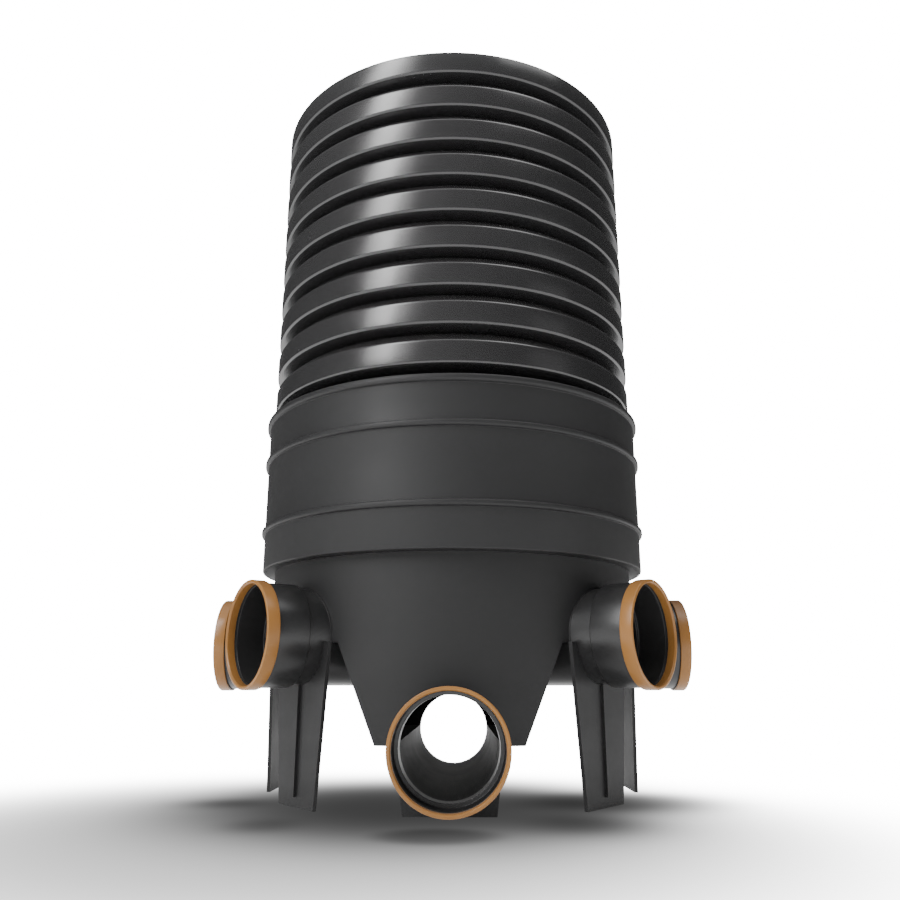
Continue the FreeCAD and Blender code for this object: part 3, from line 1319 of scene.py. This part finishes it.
SHADES = (
    SoftShade((-0.06, -0.20), (0.36, 0.38), 1.24, 3.2),
    SoftShade((-0.18, -0.43), (0.68, 0.66), 1.23, 4.2),
    SoftShade((-0.37, -0.17), (0.071, 0.063), 0.33, 2.0),
    SoftShade((-0.26, -0.416), (0.05, 0.063), 0.20, 2.3),
    SoftShade((-0.014, -0.504), (0.077, 0.063), 0.31, 4.8),
    SoftShade((0.286, -0.142), (0.149, 0.136), 0.87, 2.7),
    SoftShade((0.198, -0.398), (0.085, 0.108), 0.51, 2.1),
)
PANELS = {
    "key_edge": Panel(-48.5, 3.75, 3.2, 6.0, 3.5, 9.0),
    "key_panel": Panel(-39.5, 3.75, 3.2, 12.0, 3.5, 15.0),
    "key_tail": Panel(-29.0, 3.75, 3.2, 9.0, 3.5, 2.8),
    "top_panel": Panel(54.0, 1.6, 3.6, 54.0, 1.5, 3.0),
    "right_fill": Panel(60.0, 3.2, 1.3, 25.0, 1.6, 0.35),
    "right_low": Panel(60.0, 3.0, 0.55, 22.0, 0.5, 1.2),
    "left_low": Panel(-61.0, 3.0, 0.55, 22.0, 0.5, 2.0),
}


def by_ray(tree: NodeTree, unseen: object, seen: object, output: str) -> None:
    """Shows one shader to the camera and lets another one light the object.

    Args:
        tree: Node tree of the floor or the world.
        unseen: Shader socket for all rays but the camera's.
        seen: Shader socket for the camera.
        output: Name of the tree's output node.
    """
    path = new_node(tree, "LightPath", {})
    chosen = new_node(tree, "MixShader", {"Fac": path.outputs["Is Camera Ray"], 1: unseen, 2: seen})
    feed(tree, tree.nodes[output], {"Surface": chosen.outputs["Shader"]})


@dataclass
class Studio:
    """Pale floor, soft light and the camera, in metres and radians."""

    floor_half: float = 30.0
    floor_drop: float = 0.0005
    floor_paint: tuple[float, ...] = (0.86, 0.86, 0.86, 1.0)
    floor_roughness: float = 0.9
    floor_specular: float = 0.1
    floor_glow: float = 16.5
    floor_bounce: float = 1.3
    bounce_shade: float = 0.22
    backdrop_glow: float = 16.5
    surround_low: float = 0.05
    surround_high: float = 0.54
    surround_turn: float = -30.0
    surround_fall: float = 3.0
    surround_back: float = 0.35
    surround_top: float = 2.0
    patch_fall: float = 8.0
    lamp_aim: Triple = (0.0, 0.0, 0.7)
    camera_at: Triple = (0.0176, -1.690, 0.177)
    tilt: float = 0.2737
    turn: float = 0.0104
    lens: float = 34.43
    sensor: float = 36.0
    shift: float = -0.0022
    clip_end: float = 200.0

    def floor_shade(self, tree: NodeTree) -> NodeSocket:
        """Adds up the soft ovals under the object.

        Args:
            tree: Node tree of the floor.

        Returns:
            Brightness of the floor from 0 to 1.
        """
        place = new_node(tree, "TexCoord", {}).outputs["Object"]
        total: object = 0.0
        for shade in SHADES:
            moved = new_node(tree, "VectorMath", {0: place, 1: (*shade.at, 0.0)}, operation="SUBTRACT")
            shares = (1.0 / shade.reach[0], 1.0 / shade.reach[1], 0.0)
            sizes = {0: moved.outputs["Vector"], 1: shares}
            scaled = new_node(tree, "VectorMath", sizes, operation="MULTIPLY")
            length = new_node(tree, "VectorMath", {0: scaled.outputs["Vector"]}, operation="LENGTH")
            fall = calc(tree, "POWER", length.outputs["Value"], shade.edge)
            soft = calc(tree, "POWER", math.e, calc(tree, "MULTIPLY", fall, -1.0))
            total = calc(tree, "ADD", total, calc(tree, "MULTIPLY", soft, -shade.depth))
        return calc(tree, "POWER", 10.0, total)

    def floor(self) -> None:
        """Lays a wide pale floor that shows a soft shadow under the object."""
        size = 2 * self.floor_half
        floor = added(bpy.ops.mesh.primitive_plane_add, size=size, location=(0, 0, -self.floor_drop))
        floor.name = "studio_floor"
        paint = bpy.data.materials.new("studio_floor")
        paint.use_nodes = True
        tree = paint.node_tree
        surface = tree.nodes["Principled BSDF"]
        shade = self.floor_shade(tree)
        lit = calc(tree, "POWER", shade, self.bounce_shade)
        feed(tree, surface, {
            "Base Color": self.floor_paint,
            "Roughness": self.floor_roughness,
            "Specular IOR Level": self.floor_specular,
            "Emission Color": WHITE,
            "Emission Strength": calc(tree, "MULTIPLY", lit, self.floor_bounce),
        })
        glow = new_node(tree, "Emission", {"Strength": calc(tree, "MULTIPLY", shade, self.floor_glow)})
        by_ray(tree, surface.outputs["BSDF"], glow.outputs["Emission"], "Material Output")
        floor.data.materials.append(paint)

    def lamp(self, name: str, panel: Panel) -> None:
        """Hangs one soft panel that faces the object's axis.

        Args:
            name: Name of the light.
            panel: Its place, size and brightness.
        """
        heading = math.radians(panel.turn)
        at = (panel.away * math.sin(heading), -panel.away * math.cos(heading), panel.height)
        width = panel.away * math.radians(panel.spread)
        lamp = added(bpy.ops.object.light_add, type="AREA", location=at)
        lamp.name = name
        lamp.data.shape = "RECTANGLE"
        lamp.data.size = width
        lamp.data.size_y = panel.tall
        lamp.data.energy = math.pi * panel.glow * width * panel.tall
        lamp.rotation_euler = (Vector(self.lamp_aim) - Vector(at)).to_track_quat("-Z", "Y").to_euler()

    def surround(self, tree: NodeTree) -> NodeSocket:
        """Grades the surround from bright in front to dark behind the object.

        Args:
            tree: Node tree of the world.

        Returns:
            Strength of the light from each direction.
        """
        heading = math.radians(self.surround_turn)
        front = (math.sin(heading), -math.cos(heading), 0.0)
        outwards = new_node(tree, "TexCoord", {}).outputs["Generated"]
        facing = new_node(tree, "VectorMath", {0: outwards, 1: front}, operation="DOT_PRODUCT")
        half = calc(tree, "ADD", calc(tree, "MULTIPLY", facing.outputs["Value"], 0.5), 0.5)
        fall = calc(tree, "POWER", half, self.surround_fall)
        graded = calc(tree, "MULTIPLY", fall, self.surround_high)
        total = calc(tree, "ADD", graded, self.surround_low)
        apart = new_node(tree, "SeparateXYZ", {0: outwards})
        for side, strength in (("Y", self.surround_back), ("Z", self.surround_top)):
            towards = calc(tree, "MAXIMUM", apart.outputs[side], 0.0)
            narrow = calc(tree, "POWER", towards, self.patch_fall)
            total = calc(tree, "ADD", total, calc(tree, "MULTIPLY", narrow, strength))
        return total

    def light(self) -> None:
        """Sets a graded surround with a bright backdrop, and soft panels."""
        world = bpy.data.worlds.new("pale_surround")
        world.use_nodes = True
        tree = world.node_tree
        around = tree.nodes["Background"]
        feed(tree, around, {"Color": WHITE, "Strength": self.surround(tree)})
        backdrop = new_node(tree, "Background", {"Color": WHITE, "Strength": self.backdrop_glow})
        by_ray(tree, around.outputs["Background"], backdrop.outputs["Background"], "World Output")
        bpy.context.scene.world = world
        for name, panel in PANELS.items():
            self.lamp(name, panel)

    def camera(self) -> None:
        """Sets the camera at the photograph's place and angle."""
        camera = added(bpy.ops.object.camera_add, location=self.camera_at)
        camera.name = "photo_camera"
        camera.rotation_euler = (math.pi / 2 + self.tilt, 0.0, self.turn)
        camera.data.sensor_width = self.sensor
        camera.data.lens = self.lens
        camera.data.shift_x = self.shift
        camera.data.clip_end = self.clip_end
        bpy.context.scene.camera = camera

    def dress(self) -> None:
        """Builds floor, light and camera."""
        self.floor()
        self.light()
        self.camera()


class Chamber:
    """The whole inspection chamber."""

    def dress(self, book: FinishBook) -> None:
        """Builds and dresses every sub-assembly.

        Args:
            book: The finishes already made.
        """
        for part in (Riser(), Collar(), ChamberWall(), ChannelTray()):
            part.dress(book)
        for bore in BORES:
            pipe = "stub_" if bore.is_main else "branch_"
            BasePipe(bore=bore, node=pipe + bore.name).dress(book)
            Foot(bore=bore, node="foot_" + bore.name).dress(book)
            Connection(bore).dress(book)


def main() -> None:
    """Builds the chamber and the studio."""
    logging.basicConfig(level=logging.INFO, format="%(message)s")
    book = FinishBook()
    Chamber().dress(book)
    Studio().dress()


if __name__ == "__main__":
    main()
